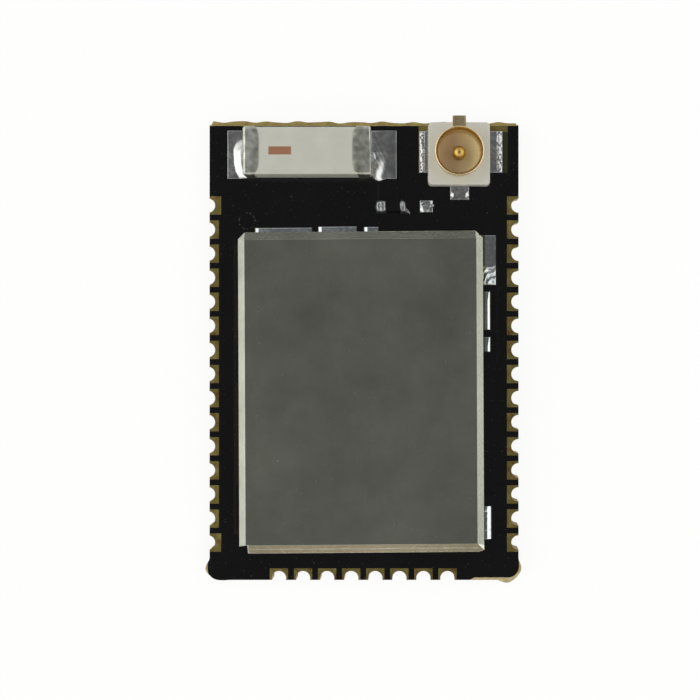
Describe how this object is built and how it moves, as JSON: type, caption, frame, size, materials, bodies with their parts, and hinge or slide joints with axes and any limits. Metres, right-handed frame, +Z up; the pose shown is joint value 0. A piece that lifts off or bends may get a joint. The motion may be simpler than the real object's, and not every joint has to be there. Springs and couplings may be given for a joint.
{
  "type": "wireless module",
  "caption": "Surface-mount wireless module: black board with plated half-hole edge contacts, folded metal shield, ceramic chip antenna and push-on coaxial antenna socket.",
  "frame": {"origin": "middle of the board's flat underside", "axes": "+X across the board from the antenna's side to the socket's side, +Y along the board towards the antenna end, +Z up out of the side that carries the parts"},
  "size_m": [0.0132, 0.0193, 0.0024],
  "materials": {
    "black_board": "black solder mask over glass-epoxy laminate, bare tan at the snapped edges",
    "contact_gold": "thin gold over nickel and copper, dull",
    "shield_tinplate": "satin tin-plated sheet steel",
    "solder": "reflowed tin solder, bright and uneven",
    "antenna_ceramic": "fired pale grey ceramic, satin",
    "tinned_cap": "dipped and tin-plated terminations, satin",
    "socket_plastic": "moulded cream plastic",
    "socket_gold": "drawn and gold-plated copper alloy",
    "chip_black": "moulded black epoxy",
    "capacitor_ceramic": "fired tan ceramic",
    "coil_ceramic": "fired white ceramic"
  },
  "bodies": {
    "root": {"circuit_board": "black_board", "left_contacts": "contact_gold", "right_contacts": "contact_gold", "end_contacts": "contact_gold", "component_lands": "contact_gold", "underside_ground_pad": "contact_gold", "shield_can": "shield_tinplate", "shield_solder": "solder", "antenna_ceramic": "antenna_ceramic", "antenna_end_caps": "tinned_cap", "antenna_solder": "solder", "connector_housing": "socket_plastic", "connector_shell": "socket_gold", "connector_pin": "socket_gold", "connector_solder": "solder", "link_resistor": "chip_black", "link_resistor_terminals": "tinned_cap", "link_resistor_solder": "solder", "spare_land_solder": "solder", "radio_chip": "chip_black", "radio_chip_leads": "tinned_cap", "radio_chip_pad": "tinned_cap", "supply_capacitors": "capacitor_ceramic", "supply_capacitor_terminals": "tinned_cap", "matching_capacitors": "capacitor_ceramic", "matching_capacitor_terminals": "tinned_cap", "matching_coil": "coil_ceramic", "matching_coil_terminals": "tinned_cap", "pull_up_resistors": "chip_black", "pull_up_resistor_terminals": "tinned_cap"}
  },
  "joints": []
}
